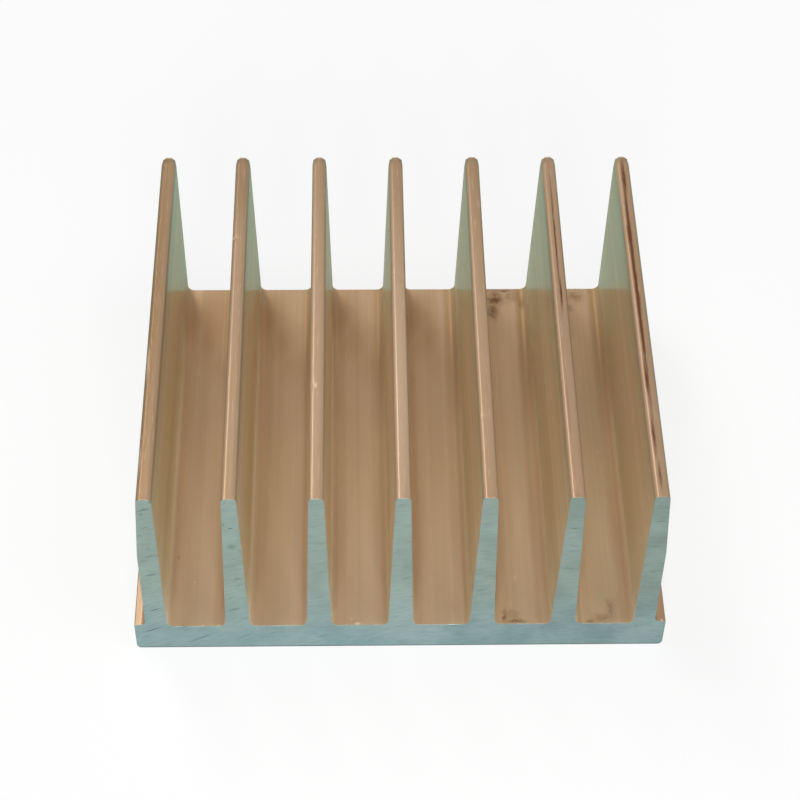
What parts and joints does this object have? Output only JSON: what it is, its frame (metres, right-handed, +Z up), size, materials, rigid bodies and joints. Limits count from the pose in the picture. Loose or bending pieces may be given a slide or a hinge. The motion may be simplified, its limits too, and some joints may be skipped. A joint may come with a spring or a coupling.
{
  "type": "extruded heat sink",
  "caption": "Extruded aluminium heat sink with a flat base, tapered parallel fins, a ledge along each side and sawn ends.",
  "frame": {"origin": "middle of the base's underside", "axes": "+X across the row of fins, +Y along the fins, +Z up from the underside to the fin tips"},
  "size_m": [0.0888, 0.077, 0.0407],
  "materials": {
    "chromated_aluminium": "satin extruded skin under a tan chromate film, with bare blue-grey sawn ends"
  },
  "bodies": {
    "root": {"heatsink": "chromated_aluminium"}
  },
  "joints": []
}
